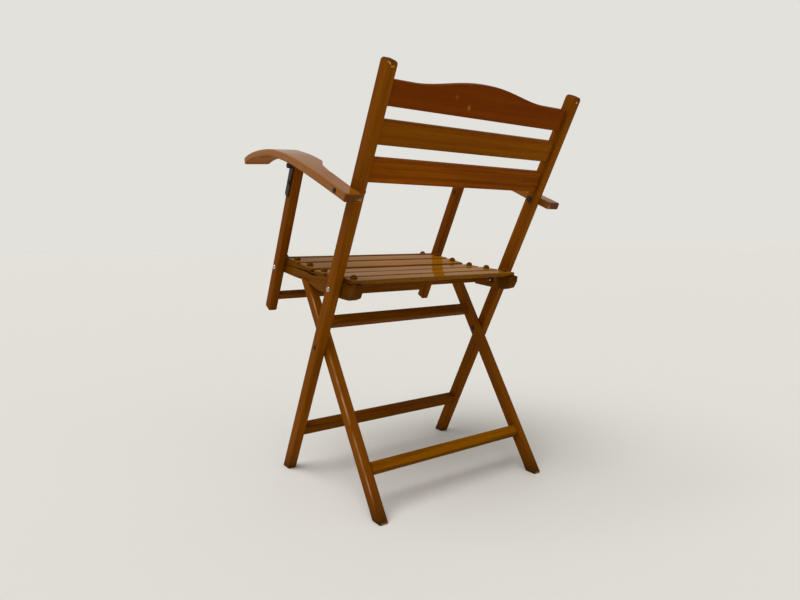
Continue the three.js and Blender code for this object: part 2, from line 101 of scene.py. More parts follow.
# points round a four-cornered section: each row holds corner sign x, sign y, angle, next signs, share of the
# flat between them, and 1 on the rounded edge falling to 0 on the flat
def sectionTemplate(perCorner=5, flats=(0.05, 0.14, 0.26, 0.38, 0.5, 0.62, 0.74, 0.86, 0.95)):
    signs = [(1, -1), (1, 1), (-1, 1), (-1, -1)]
    rows = []
    for turn in range(4):
        here, after = signs[turn], signs[(turn + 1) % 4]
        for angle in np.linspace(90 * turn - 90, 90 * turn, perCorner):
            rows.append([*here, math.radians(angle), *here, 0, 1])
        for share in flats:
            edge = max(0, 1 - 9 * min(share, 1 - share))
            rows.append([*here, math.radians(90 * turn), *after, share, edge])
    return np.array(rows)


template = sectionTemplate()


# rounded rectangle of each ring: corner centre plus radius times (cos, sin), blended along the flats
def roundedRings(wide, deep, radius):
    wide, deep, radius = wide[:, None], deep[:, None], radius[:, None]
    sx, sy, angle, nx, ny, share, edge = template.T
    reachX, reachY = wide / 2 - radius, deep / 2 - radius
    across = reachX * ((1 - share) * sx + share * nx) + radius * np.cos(angle)
    through = reachY * ((1 - share) * sy + share * ny) + radius * np.sin(angle)
    return across, through, edge


# rows at one end of a bar, from the middle of its face outwards: a crown of crown * share^2, then a quarter
# ellipse that runs ease[0] along and sets the section in by ease[1] and ease[2]
def endRows(ease, crown):
    share = np.array([0.2, 0.45, 0.7, 0.9])
    angle = np.radians(np.linspace(0, 90, 6))
    along = np.r_[crown * share**2, crown + ease[0] * (1 - np.cos(angle))]
    inset = np.r_[np.ones(4), 1 - np.sin(angle)]
    shrink = np.r_[share, np.ones(6)]
    return along, inset, shrink


# mesh from rings of points closed by a pole at each end, with its fibre and marks kept as attributes;
# the faces are turned round when the signed volume comes out negative
def skinRings(name, rings, fibre, marks):
    count, around = rings.shape[:2]
    points = np.vstack([rings.reshape(-1, 3), rings[0].mean(0), rings[-1].mean(0)])
    strands = np.vstack([fibre.reshape(-1, 3), fibre[0].mean(0), fibre[-1].mean(0)])
    i, j = np.meshgrid(np.arange(count - 1), np.arange(around), indexing="ij")
    after = (j + 1) % around
    quads = np.stack([i * around + j, i * around + after, (i + 1) * around + after, (i + 1) * around + j], -1)
    quads = quads.reshape(-1, 4)
    j = np.arange(around)
    after = (j + 1) % around
    poleA, poleB, last = count * around, count * around + 1, (count - 1) * around
    caps = np.vstack([
        np.stack([np.full(around, poleA), after, j], -1),
        np.stack([np.full(around, poleB), last + j, last + after], -1)])
    corners = np.vstack([quads[:, [0, 1, 2]], quads[:, [0, 2, 3]], caps])
    first, second, third = (points[corners[:, turn]] for turn in range(3))
    if (first * np.cross(second, third)).sum() < 0:
        quads, caps = quads[:, ::-1], caps[:, ::-1]
    mesh = bpy.data.meshes.new(name)
    mesh.from_pydata(points.tolist(), [], quads.tolist() + caps.tolist())
    mesh.polygons.foreach_set("use_smooth", np.ones(len(mesh.polygons), bool))
    mesh.attributes.new("fibre", "FLOAT_VECTOR", "POINT").data.foreach_set("vector", strands.ravel())
    for label, amount in marks.items():
        amount = np.broadcast_to(amount, (count, around))
        amount = np.r_[amount.ravel(), amount[0].mean(), amount[-1].mean()]
        mesh.attributes.new(label, "FLOAT", "POINT").data.foreach_set("value", np.clip(amount, 0, 1))
    mesh.update()
    return addObject(name, mesh)


endWearReach = 0.010  # over which the wear at an end falls to a third


# wear of a piece: edge share times edgeWear, plus a falling share near each end, plus round worn spots
def wearOf(rings, edge, distance, length, look):
    worn = look.get("edgeWear", 0.3) * np.broadcast_to(edge, rings.shape[:2])
    fromStart, fromEnd = distance[:, None], (length - distance)[:, None]
    worn = worn + look.get("startWear", 0) * np.exp(-fromStart / endWearReach)
    worn = worn + look.get("endWear", 0) * np.exp(-fromEnd / endWearReach)
    for point, reach, amount in look.get("spots", []):
        worn = worn + amount * np.exp(-((rings - np.array(point)) ** 2).sum(-1) / reach**2)
    return worn


# varnish rubbed thin, with a painted highlight on it: amount * sin(twice the angle into the corner)^3 along the
# corner with the given signs, between two shares of the length, plus round scuffs
def thinAndSheenOf(rings, distance, length, look):
    thinAndSheen = np.zeros((len(distance), len(template)))
    for corner, amount, low, high in look.get("rubbedAndSheen", []):
        along = np.interp(distance / length, [low - 0.05, low, high, high + 0.05], [0, 1, 1, 0])[:, None]
        onCorner = (template[:, 0] == corner[0]) & (template[:, 1] == corner[1]) & (template[:, 5] == 0)
        thinAndSheen = thinAndSheen + amount * along * onCorner * np.abs(np.sin(2 * template[:, 2])) ** 3
    for point, reach, amount in look.get("scuffs", []):
        thinAndSheen = thinAndSheen + amount * np.exp(-((rings - np.array(point)) ** 2).sum(-1) / reach**2)
    return thinAndSheen


# end grain: 1 on the cap at each end, falling to 0 over the rounded rows beside it
def endGrainOf(count):
    share = np.r_[np.ones(4), np.linspace(1, 0, 6)]
    return np.r_[share, np.zeros(count - 20), share[::-1]][:, None]


leastRound = 0.0002  # of a section's corners, where its ends are set in


# bar: section of wide by deep carried along way; lean is how far a cut end runs along for each unit of depth,
# and grow(distance) raises the upper side; a darkening falls as exp(-distance / reach) from the start, and a
# painted shade lies evenly on the shaded side, where sign * across is past a share of the width
def bar(name, start, way, acrossWay, length, size, ease, look, crown=(0, 0), lean=(0, 0), grow=None, rows=60):
    deepWay = np.cross(acrossWay, way)
    wide, deep, radius = size
    alongA, insetA, shrinkA = endRows(ease[0], crown[0])
    alongB, insetB, shrinkB = endRows(ease[1], crown[1])
    between = np.linspace(alongA[-1], length - alongB[-1], rows + 2)[1:-1]
    along = np.r_[alongA, between, (length - alongB)[::-1]]
    flat = np.zeros(rows)
    insetWide = np.r_[ease[0][1] * insetA, flat, (ease[1][1] * insetB)[::-1]]
    insetDeep = np.r_[ease[0][2] * insetA, flat, (ease[1][2] * insetB)[::-1]]
    shrink = np.r_[shrinkA, flat + 1, shrinkB[::-1]]
    corner = np.maximum(radius - np.maximum(insetWide, insetDeep), leastRound) * shrink
    a, b, edge = roundedRings((wide - 2 * insetWide) * shrink, (deep - 2 * insetDeep) * shrink, corner)
    if grow is not None:
        a = a + grow(along)[:, None] * (0.5 + a / wide)
    share = (along / length)[:, None]
    reach = along[:, None] + b * (lean[0] * (1 - share) + lean[1] * share)
    rings = start + reach[..., None] * way + a[..., None] * acrossWay + b[..., None] * deepWay
    shift = np.array(look.get("shift", (0, 0, 0)))
    fibre = np.stack([reach, a, b], -1) + shift
    # darker towards the start, and a painted shade on the shaded side
    darkening, darkeningReach = look.get("darkening", (0, 1))
    sign, past, paintedShade = look.get("shadedSide", (1, 1, 0))
    return skinRings(name, rings, fibre, {
        "wear": wearOf(rings, edge, along, length, look), "thinAndSheen": thinAndSheenOf(rings, along, length, look),
        "endGrain": endGrainOf(len(along)),
        "darkening": darkening * np.exp(-along[:, None] / darkeningReach) + paintedShade * (sign * a > past * wide)})


# surface of revolution: a ring of each radius of the profile, at its height along axis
def turned(name, profile, centre, axis, look, around=40):
    radius, height = np.array(profile).T
    axis = np.array(axis, float)
    first = np.array([0, 0, 1.0]) if abs(axis[0]) > 0.9 else sideways
    first = first - axis * (first @ axis)
    first = first / np.linalg.norm(first)
    second = np.cross(axis, first)
    angle = np.linspace(0, 2 * math.pi, around, endpoint=False)
    ring = np.cos(angle)[:, None] * first + np.sin(angle)[:, None] * second
    rings = np.array(centre) + radius[:, None, None] * ring + height[:, None, None] * axis
    fibre = np.stack(np.broadcast_arrays(
        height[:, None], radius[:, None] * np.cos(angle), radius[:, None] * np.sin(angle)), -1)
    fibre = fibre + np.array(look.get("shift", (0, 0, 0)))
    return skinRings(name, rings, fibre, {"wear": look.get("wear", 0.0)})


# gives a piece its material, body and the nodes it replaces; weighted normals keep the flats flat between
# the rounded edges
def finishPiece(piece, body, nodes, material):
    piece.data.materials.append(material)
    normals = piece.modifiers.new("normals", "WEIGHTED_NORMAL")
    normals.keep_sharp = True
    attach(piece, body)
    if nodes:
        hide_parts(*nodes)


# colour given as it looks on a screen, turned into the linear value that a shader takes
def tone(red, green, blue):
    value = np.array([red, green, blue]) / 255
    linear = np.where(value <= 0.04045, value / 12.92, ((value + 0.055) / 1.055) ** 2.4)
    return (*linear.tolist(), 1)


# empty node group with inputs of (name, kind, value) and outputs of (name, kind)
def newGroup(name, inputs, outputs):
    group = bpy.data.node_groups.new(name, "ShaderNodeTree")
    for label, kind, value in inputs:
        socket = group.interface.new_socket(name=label, in_out="INPUT", socket_type=kind)
        if value is not None:
            socket.default_value = value
    for label, kind in outputs:
        group.interface.new_socket(name=label, in_out="OUTPUT", socket_type=kind)
    inside = group.nodes.new("NodeGroupInput")
    outside = group.nodes.new("NodeGroupOutput")
    return group, inside, outside


# math node on two numbers or sockets
def addMath(tree, operation, first, second, clamp=False):
    node = tree.nodes.new("ShaderNodeMath")
    node.operation, node.use_clamp = operation, clamp
    for socket, value in zip(node.inputs, (first, second)):
        if isinstance(value, (int, float)):
            socket.default_value = value
        else:
            tree.links.new(value, socket)
    return node.outputs[0]


# product of two numbers or sockets
def times(tree, first, second):
    return addMath(tree, "MULTIPLY", first, second)


# colour mix: first * (1 - factor) + second * factor
def addMix(tree, factor, first, second):
    node = tree.nodes.new("ShaderNodeMix")
    node.data_type = "RGBA"
    for socket, value in ((node.inputs[0], factor), (node.inputs[6], first), (node.inputs[7], second)):
        if isinstance(value, tuple):
            socket.default_value = value
        else:
            tree.links.new(value, socket)
    return node.outputs[2]


# noise on the vector stretched by scale, so that its marks run along the fibre
def stretchedNoise(tree, vector, scale, detail=3.0, distortion=0.0):
    mapping = tree.nodes.new("ShaderNodeMapping")
    mapping.inputs["Scale"].default_value = scale
    noise = tree.nodes.new("ShaderNodeTexNoise")
    noise.inputs["Scale"].default_value = 1.0
    noise.inputs["Detail"].default_value = detail
    noise.inputs["Distortion"].default_value = distortion
    tree.links.new(vector, mapping.inputs["Vector"])
    tree.links.new(mapping.outputs[0], noise.inputs["Vector"])
    return noise.outputs["Fac"]


# share of value between low and high, from 0 to 1
def rampShare(tree, value, low, high):
    node = tree.nodes.new("ShaderNodeMapRange")
    node.interpolation_type = "SMOOTHSTEP"
    node.inputs["From Min"].default_value = low
    node.inputs["From Max"].default_value = high
    tree.links.new(value, node.inputs["Value"])
    return node.outputs["Result"]


figureLayers = [
    ("bands", ((2.2, 75, 75), 2.0, 0.6), (0.34, 0.66), 0.65, "Deep", True),
    ("streaks", ((9, 420, 420), 4.0), (0.32, 0.7), 0.45, "Bright", True),
    ("drift", ((5, 14, 14), 2.0), (0.3, 0.7), 0.35, "Deep", False),
    ("pores", ((70, 2400, 2400), 1.0), (0.60, 0.70), 0.45, "Deep", False),
]  # noise (scale, detail, distortion), its range, share, tone, and whether the contrast scales it
streakHeight, streakGloss = 0.35, 0.08  # shares of the streaks in the bump and in the loss of gloss


# figure of the wood: layers of noise stretched along the fibre, each mixed over the last with its share
def makeWoodFigure():
    group, inside, outside = newGroup(
        "woodFigure",
        [("Fibre", "NodeSocketVector", None), ("Deep", "NodeSocketColor", (0.1, 0.03, 0.01, 1)),
         ("Body", "NodeSocketColor", (0.3, 0.12, 0.03, 1)), ("Bright", "NodeSocketColor", (0.5, 0.25, 0.08, 1)),
         ("Contrast", "NodeSocketFloat", 0.6)],
        [("Color", "NodeSocketColor"), ("Height", "NodeSocketFloat"), ("Gloss Loss", "NodeSocketFloat")])
    found, shade = {}, inside.outputs["Body"]
    for name, noise, span, share, over, scaled in figureLayers:
        found[name] = rampShare(group, stretchedNoise(group, inside.outputs["Fibre"], *noise), *span)
        factor = times(group, found[name], share)
        if scaled:
            factor = times(group, factor, inside.outputs["Contrast"])
        shade = addMix(group, factor, shade, inside.outputs[over])
    group.links.new(shade, outside.inputs["Color"])
    height = addMath(group, "SUBTRACT", times(group, found["streaks"], streakHeight), found["pores"])
    group.links.new(height, outside.inputs["Height"])
    group.links.new(times(group, found["streaks"], streakGloss), outside.inputs["Gloss Loss"])
    return group


rubbing = {
    "coarse": ((190, 260, 260), 3.0), "coarseShare": 0.7, "fine": ((500, 1500, 1500), 2.0), "fineShare": 0.3,
    "wearShare": 0.42, "bare": (0.80, 0.87), "dull": (0.55, 0.85), "patchy": ((26, 300, 300), 3.0),
    "through": (0.26, 0.60),
}  # noises: scale and detail; ranges: from none to full


# rubbed varnish: noise plus wear is bare wood above one level and dull above a lower one, and the mark of thin
# varnish and painted highlight times a patchy noise is where pale wood or a painted highlight shows
def makeRubbedVarnishAndSheen():
    group, inside, outside = newGroup(
        "rubbedVarnishAndSheen",
        [("Fibre", "NodeSocketVector", None), ("Wear", "NodeSocketFloat", 0.0), ("ThinAndSheen", "NodeSocketFloat", 0.0)],
        [("Bare", "NodeSocketFloat"), ("Dull", "NodeSocketFloat"), ("PaleWearAndSheen", "NodeSocketFloat")])
    fibre = inside.outputs["Fibre"]
    coarse = times(group, stretchedNoise(group, fibre, *rubbing["coarse"]), rubbing["coarseShare"])
    fine = times(group, stretchedNoise(group, fibre, *rubbing["fine"]), rubbing["fineShare"])
    wear = times(group, inside.outputs["Wear"], rubbing["wearShare"])
    level = addMath(group, "ADD", addMath(group, "ADD", coarse, fine), wear)
    group.links.new(rampShare(group, level, *rubbing["bare"]), outside.inputs["Bare"])
    group.links.new(rampShare(group, level, *rubbing["dull"]), outside.inputs["Dull"])
    patchy = rampShare(group, stretchedNoise(group, fibre, *rubbing["patchy"]), *rubbing["through"])
    group.links.new(times(group, patchy, inside.outputs["ThinAndSheen"]), outside.inputs["PaleWearAndSheen"])
    return group


woodFigure, rubbedVarnishAndSheen = makeWoodFigure(), makeRubbedVarnishAndSheen()


# material with its node tree and its shader
def newMaterial(name):
    material = bpy.data.materials.new(name)
    material.use_nodes = True
    tree = material.node_tree
    return material, tree, tree.nodes["Principled BSDF"]


# what a piece carries in its mesh under this label
def readMark(tree, label, output="Fac"):
    source = tree.nodes.new("ShaderNodeAttribute")
    source.attribute_name = label
    return source.outputs[output]


# bump from a height in shares of distance, as the shader's normal
def addBump(tree, shader, height, strength, distance):
    bump = tree.nodes.new("ShaderNodeBump")
    bump.inputs["Strength"].default_value = strength
    bump.inputs["Distance"].default_value = distance
    tree.links.new(height, bump.inputs["Height"])
    tree.links.new(bump.outputs["Normal"], shader.inputs["Normal"])


# varnished wood, its figure along the fibre, and its wear, darkening, painted shade, painted highlight and end
# grain from the marks of each piece
def makeWood(name, look):
    material, tree, shader = newMaterial(name)
    link = tree.links.new
    fibre = readMark(tree, "fibre", "Vector")
    mark = {label: readMark(tree, label) for label in ("wear", "thinAndSheen", "endGrain", "darkening", "matt")}
    figure = tree.nodes.new("ShaderNodeGroup")
    figure.node_tree = woodFigure
    for label in ("Deep", "Body", "Bright"):
        figure.inputs[label].default_value = tone(*look[label])
    figure.inputs["Contrast"].default_value = look["contrast"]
    rubbedAndSheen = tree.nodes.new("ShaderNodeGroup")
    rubbedAndSheen.node_tree = rubbedVarnishAndSheen
    grain = tree.nodes.new("ShaderNodeMapping")
    grain.inputs["Scale"].default_value = [look["grain"]] * 3
    link(fibre, grain.inputs["Vector"])
    link(grain.outputs[0], figure.inputs["Fibre"])
    link(fibre, rubbedAndSheen.inputs["Fibre"])
    link(mark["wear"], rubbedAndSheen.inputs["Wear"])
    link(mark["thinAndSheen"], rubbedAndSheen.inputs["ThinAndSheen"])
    endShade = times(tree, mark["endGrain"], look["endShare"])
    colour = addMix(tree, endShade, figure.outputs["Color"], tone(*look["End"]))
    # dull varnish takes the dirt colour, and the darkening mark, partly painted shade, adds to it in the same
    # colour
    dull = times(tree, rubbedAndSheen.outputs["Dull"], look["dullShare"])
    dull = addMath(tree, "ADD", dull, mark["darkening"], clamp=True)
    colour = addMix(tree, dull, colour, tone(*look["DirtAndShade"]))
    # pale worn varnish, and along the short legs' rubbed edges a painted highlight
    colour = addMix(tree, rubbedAndSheen.outputs["PaleWearAndSheen"], colour, tone(*look["PaleWearAndSheen"]))
    colour = addMix(tree, rubbedAndSheen.outputs["Bare"], colour, tone(*look["Bare"]))
    link(colour, shader.inputs["Base Color"])
    rough = addMath(tree, "ADD", figure.outputs["Gloss Loss"], look["rough"])
    rough = addMath(tree, "ADD", rough, times(tree, rubbedAndSheen.outputs["Dull"], look["dullRough"]), clamp=True)
    link(rough, shader.inputs["Roughness"])
    noCoat = addMath(tree, "MAXIMUM", rubbedAndSheen.outputs["Bare"], mark["matt"])
    coat = addMath(tree, "SUBTRACT", look["coat"], times(tree, noCoat, look["coat"]))
    link(coat, shader.inputs["Coat Weight"])
    shader.inputs["Coat Roughness"].default_value = look["coatRough"]
    shader.inputs["Coat IOR"].default_value = look["coatIndex"]
    shader.inputs["Specular IOR Level"].default_value = 0.0
    height = addMath(tree, "SUBTRACT", figure.outputs["Height"], rubbedAndSheen.outputs["Bare"])
    addBump(tree, shader, height, look["bump"], look["bumpDeep"])
    return material


# metal: its colour drifts between two tones, spots of rust lie on it, and fine scratches change its gloss
def makeMetal(name, look):
    material, tree, shader = newMaterial(name)
    link = tree.links.new
    place = tree.nodes.new("ShaderNodeTexCoord").outputs["Object"]
    drift = rampShare(tree, stretchedNoise(tree, place, *look["drift"]), *look["driftRange"])
    spots = rampShare(tree, stretchedNoise(tree, place, *look["spots"]), *look["spotRange"])
    scratches = stretchedNoise(tree, place, *look["scratches"])
    colour = addMix(tree, drift, tone(*look["Dark"]), tone(*look["Light"]))
    colour = addMix(tree, spots, colour, tone(*look["Spot"]))
    link(colour, shader.inputs["Base Color"])
    rough = addMath(tree, "ADD", times(tree, scratches, look["roughSpread"]), look["rough"])
    rough = addMath(tree, "ADD", rough, times(tree, spots, look["spotRough"]), clamp=True)
    link(rough, shader.inputs["Roughness"])
    link(addMath(tree, "SUBTRACT", 1.0, times(tree, spots, look["spotLoss"])), shader.inputs["Metallic"])
    addBump(tree, shader, addMath(tree, "ADD", spots, scratches), look["bump"], look["bumpDeep"])
    return material


woodLook = {
    "legs": {"Deep": (98, 48, 0), "Body": (128, 68, 0), "Bright": (160, 100, 8), "Bare": (212, 158, 84)},
    "posts": {"Deep": (92, 43, 0), "Body": (124, 64, 0), "Bright": (154, 94, 8)},
    "boards": {"Deep": (94, 37, 0), "Body": (118, 52, 0), "Bright": (138, 70, 0), "contrast": 0.5, "grain": 0.7,
               "PaleWearAndSheen": (228, 146, 72)},
    "goldBoard": {"Deep": (96, 46, 0), "Body": (130, 66, 0), "Bright": (172, 112, 6), "contrast": 0.65,
                  "grain": 0.35},
    "redBoard": {"Deep": (84, 36, 0), "Body": (138, 65, 0), "Bright": (170, 100, 4), "contrast": 0.85,
                 "grain": 0.35},
    "brownBars": {"Deep": (78, 37, 0), "Body": (116, 61, 0), "Bright": (150, 94, 8), "contrast": 0.8},
    "slats": {"Deep": (112, 62, 0), "Body": (150, 92, 8), "Bright": (188, 132, 34), "contrast": 0.9, "coat": 0.25,
              "coatRough": 0.04},
    "arms": {"Deep": (116, 62, 8), "Body": (150, 88, 18), "Bright": (176, 116, 40), "contrast": 0.6, "coat": 0.6,
             "bump": 0.03, "Bare": (150, 112, 66)},
    "pegs": {"Deep": (66, 34, 0), "Body": (108, 62, 4), "Bright": (146, 98, 16)},
    "goldStretcher": {"Deep": (84, 44, 0), "Body": (132, 74, 0), "Bright": (172, 112, 0), "contrast": 1.0,
                      "coat": 0.05},
    "rails": {"Deep": (80, 41, 0), "Body": (116, 65, 0), "Bright": (148, 92, 10)},
}
# the dirt colour also paints shade, and the pale colour of worn varnish also paints a highlight on rubbed edges
woodShared = {
    "DirtAndShade": (44, 24, 6), "PaleWearAndSheen": (192, 142, 98), "Bare": (166, 130, 86), "End": (62, 24, 0), "contrast": 0.7,
    "grain": 1.0, "rough": 0.45, "coat": 0.12, "coatRough": 0.09, "coatIndex": 1.28, "bump": 0.15,
    "bumpDeep": 0.0004, "endShare": 0.7, "dullShare": 0.35, "dullRough": 0.25,
}
woods = {name: makeWood("varnished_" + name, {**woodShared, **look}) for name, look in woodLook.items()}
metalLook = {
    "bright_steel": {"Dark": (138, 132, 124), "Light": (196, 191, 182), "Spot": (108, 96, 80),
                     "spotRange": (0.62, 0.72), "rough": 0.16, "roughSpread": 0.14, "bump": 0.08},
    "dark_iron": {"Dark": (40, 34, 30), "Light": (72, 62, 54), "Spot": (84, 50, 28),
                  "spotRange": (0.56, 0.68), "rough": 0.42, "roughSpread": 0.2, "bump": 0.35},
    "varnished_iron": {"Dark": (84, 44, 14), "Light": (112, 64, 24), "Spot": (60, 36, 20),
                       "spotRange": (0.6, 0.7), "rough": 0.3, "roughSpread": 0.1, "bump": 0.1},
}
metalShared = {
    "drift": ((220, 220, 220), 4.0), "driftRange": (0.35, 0.65), "spots": ((900, 900, 900), 3.0),
    "scratches": ((300, 4000, 900), 1.0), "spotRough": 0.2, "spotLoss": 0.8, "bumpDeep": 0.0003,
}
metals = {name: makeMetal(name, {**metalShared, **look}) for name, look in metalLook.items()}
print("finishes ready:", len(woods) + len(metals))


legLook = {
    "long": {"size": (0.0195, 0.026, 0.0032), "length": 0.894, "top": (0.0062, 0.0056, 0.0062), "crown": 0.0004,
             "darkening": (0.75, 0.025),
             "chips": [(0.8895, 0.0065, -0.002, 0.0034, 1.0), (0.8845, -0.0005, 0, 0.0040, 0.95)]},
    "short": {"size": (0.0195, 0.024, 0.0036), "foot": (0.0022, 0.0020, 0.0020), "darkening": (0.8, 0.040),
              "railRear": (-0.2366, -0.019), "railFront": (-0.4086, 0.0255), "intoRail": 0.0047,
              # rubbed lines along the outer rear edge: partly worn varnish, partly a painted highlight
              "rubbedAndSheen": [((1, -1), 0.8, 0.12, 0.30), ((1, -1), 1.0, 0.42, 0.62), ((1, -1), 1.0, 0.76, 0.90)],
              "footScuffs": {"places": np.linspace(-0.0065, 0.0065, 7), "reach": 0.0019, "amount": 0.62}},
    "post": {"size": (0.0195, 0.024, 0.0032), "below": 0.1106, "above": 0.042, "end": (0.0042, 0.0042, 0.0046)},
    "footEase": (0.0024, 0.0022, 0.0022),
}  # chips: up the leg, outwards, back, reach, amount; the short leg's top follows the rail's line in seat shares
sharpEnd = (0.0004, 0.0003, 0.0003)


# slope of an end cut along a line of the side view: distance along way for each unit of depth
def cutLean(way, deepWay, lineWay):
    return -(deepWay[1] * lineWay[2] - deepWay[2] * lineWay[1]) / (way[1] * lineWay[2] - way[2] * lineWay[1])


# long legs: a bar from the foot, cut along the floor, to a rounded top with two chips in its rear face
def buildLongLegs():
    values = legLook["long"]
    size, x = values["size"], chair["halfWide"] - chair["stock"] / 2
    for side, word in sides:
        across = sideways * side
        floorLean = cutLean(longWay, np.cross(across, longWay), np.array([0, 1.0, 0]))
        rearFace = longFoot + side * x * sideways + squareWay(longWay) * size[1] / 2
        chips = [(rearFace + longWay * up + [side * out, back, 0], reach, amount)
                 for up, out, back, reach, amount in values["chips"]]
        look = {"shift": (0.4 * side, 0.13, 0.27 * side), "edgeWear": 0.1, "startWear": 0.3, "endWear": 0.1,
                "darkening": values["darkening"], "spots": chips}
        leg = bar("long_leg_" + word + "_wood", longFoot + side * x * sideways, longWay, across,
                  values["length"], size, (legLook["footEase"], values["top"]), look,
                  crown=(0, values["crown"]), lean=(floorLean, 0), rows=300)
        finishPiece(leg, "back_frame", ["long_leg_" + word], woods["legs"])


# short legs: a bar from the foot, cut along the floor, to a top cut along the rail's lower line; its length is
# where shortWay from the foot crosses that line
def buildShortLegs():
    values = legLook["short"]
    size, x = values["size"], railOuter - chair["stock"] / 2
    underRear, underFront = onSeat(*values["railRear"]), onSeat(*values["railFront"])
    railWay = (underFront - underRear) / np.linalg.norm(underFront - underRear)
    upward = squareWay(railWay)
    away = underRear + values["intoRail"] * upward - shortFoot
    length = (away @ upward) / (shortWay @ upward)
    for side, word in sides:
        across = sideways * side
        deepWay = np.cross(across, shortWay)
        leans = (cutLean(shortWay, deepWay, np.array([0, 1.0, 0])), cutLean(shortWay, deepWay, railWay))
        footEdge = np.array([side * x, shortFoot[1] + size[1] / 2 / shortWay[2] - 0.0006, 0.0006])
        line = values["footScuffs"]
        scuffs = [(footEdge + place * sideways, line["reach"], line["amount"]) for place in line["places"]]
        look = {"shift": (0.7 * side, 0.33, 0.51 * side), "edgeWear": 0.12, "startWear": 0.3,
                "darkening": values["darkening"], "scuffs": scuffs, "rubbedAndSheen": values["rubbedAndSheen"]}
        leg = bar("short_leg_" + word + "_wood", shortFoot + side * x * sideways, shortWay, across,
                  length, size, (values["foot"], sharpEnd), look, lean=leans, rows=160)
        finishPiece(leg, "leg_frame", ["short_leg_" + word], woods["legs"])


# arm posts: a bar along the long legs' lean, past the front pivot below and the arm's pivot above
def buildArmPosts():
    values = legLook["post"]
    x = chair["halfWide"] - chair["stock"] / 2
    length = values["below"] + np.linalg.norm(armFront - seatFront) + values["above"]
    for side, word in sides:
        start = seatFront - longWay * values["below"] + side * x * sideways
        look = {"shift": (1.1 * side, 0.71, 0.93 * side), "edgeWear": 0.1, "startWear": 0.3, "endWear": 0.1}
        post = bar("arm_post_" + word + "_wood", start, longWay, sideways * side, length, values["size"],
                   (values["end"], values["end"]), look, crown=(0.0008, 0.0008), rows=50)
        finishPiece(post, "arm_frame", ["arm_post_" + word], woods["posts"])


buildLongLegs()
buildShortLegs()
buildArmPosts()
print("legs and posts built")


boards = {
    "lower_back_board": {"up": 0.71225, "high": 0.0442, "wood": "redBoard", "shift": (2.1, 0.4, 0.9)},
    "upper_back_board": {"up": 0.77865, "high": 0.0427, "wood": "goldBoard", "shift": (2.9, 1.4, 0.2)},
    "crest_board": {"up": 0.8433, "high": 0.0420, "wood": "boards", "shift": (3.7, 2.2, 0.6),
                    "scuffs": [(0.0718, 0.0100), (0.0382, -0.0015), (0.0384, -0.0048), (0.0398, -0.0072)]},
}
boardThick, boardRound = 0.012, 0.0020
scuffReach, scuffAmount = 0.0021, 0.5
crest = {"rise": 0.0173, "half": 0.157, "aside": 0.005, "flatTop": 1.12}


# low hump of the crest board: rise * (1 + cos(pi * share^flatTop)) / 2, share being the distance from its middle
# over half; a power above 1 flattens its top
def crestHump(distance):
    middle = legInner - chair["fit"] + crest["aside"]
    share = np.clip(np.abs(distance - middle) / crest["half"], 0, 1) ** crest["flatTop"]
    return crest["rise"] * (1 + np.cos(math.pi * share)) / 2


# boards of the back: a bar across between the long legs, at its place up their lean
def buildBoards():
    half = legInner - chair["fit"]
    for name, values in boards.items():
        middle = longFoot + longWay * values["up"]
        rearFace = middle + squareWay(longWay) * boardThick / 2
        scuffs = [(rearFace + x * sideways + up * longWay, scuffReach, scuffAmount)
                  for x, up in values.get("scuffs", [])]
        look = {"shift": values["shift"], "edgeWear": 0.3, "scuffs": scuffs}
        grow = crestHump if name == "crest_board" else None
        board = bar(name + "_wood", middle - half * sideways, sideways, longWay, 2 * half,
                    (values["high"], boardThick, boardRound), (sharpEnd, sharpEnd), look, grow=grow, rows=150)
        finishPiece(board, "back_frame", [name], woods[values["wood"]])


stretchers = {
    "front_stretcher": {"foot": longFoot, "way": longWay, "up": 0.1134, "high": 0.0225, "half": legInner,
                        "body": "back_frame"},
    # the rear stretcher's lower part gets a painted shade from its shaded side
    "rear_stretcher": {"foot": shortFoot, "way": shortWay, "up": 0.0955, "high": 0.023, "half": railInner,
                       "body": "leg_frame", "wood": "goldStretcher", "slot": "brown_varnish",
                       "shadedSide": (-1, 0.30, 0.4)},
    "upper_stretcher": {"foot": shortFoot, "way": shortWay, "up": 0.4034, "high": 0.022, "half": railInner,
                        "body": "leg_frame"},
    "arm_stretcher": {"foot": seatFront, "way": longWay, "up": -0.0751, "high": 0.0155, "deep": 0.0155,
                      "half": legInner, "body": "arm_frame"},
    "seat_cross_rail": {"foot": seatRear + [0, -0.0635, 0.004], "way": leanWay(0), "up": 0, "high": 0.026,
                        "deep": 0.020, "half": railInner, "body": "seat"},
}
stretcherShared = {"deep": 0.021, "round": 0.0026, "wood": "brownBars", "slot": "dark_varnish",
                   "shadedSide": (1, 1, 0)}


# stretchers: a bar across, its middle at up along way from the foot
def buildStretchers():
    for index, (name, own) in enumerate(stretchers.items()):
        values = {**stretcherShared, **own}
        half = values["half"] - chair["fit"]
        middle = values["foot"] + values["way"] * values["up"]
        look = {"shift": (5.0 + 0.9 * index, 0.31 * index, 0.17), "edgeWear": 0.25,
                "shadedSide": values["shadedSide"]}
        piece = bar(name + "_wood", middle - half * sideways, sideways, values["way"], 2 * half,
                    (values["high"], values["deep"], values["round"]), (sharpEnd, sharpEnd), look)
        finishPiece(piece, values["body"], [name], woods[values["wood"]])


buildBoards()
buildStretchers()
print("boards and stretchers built")


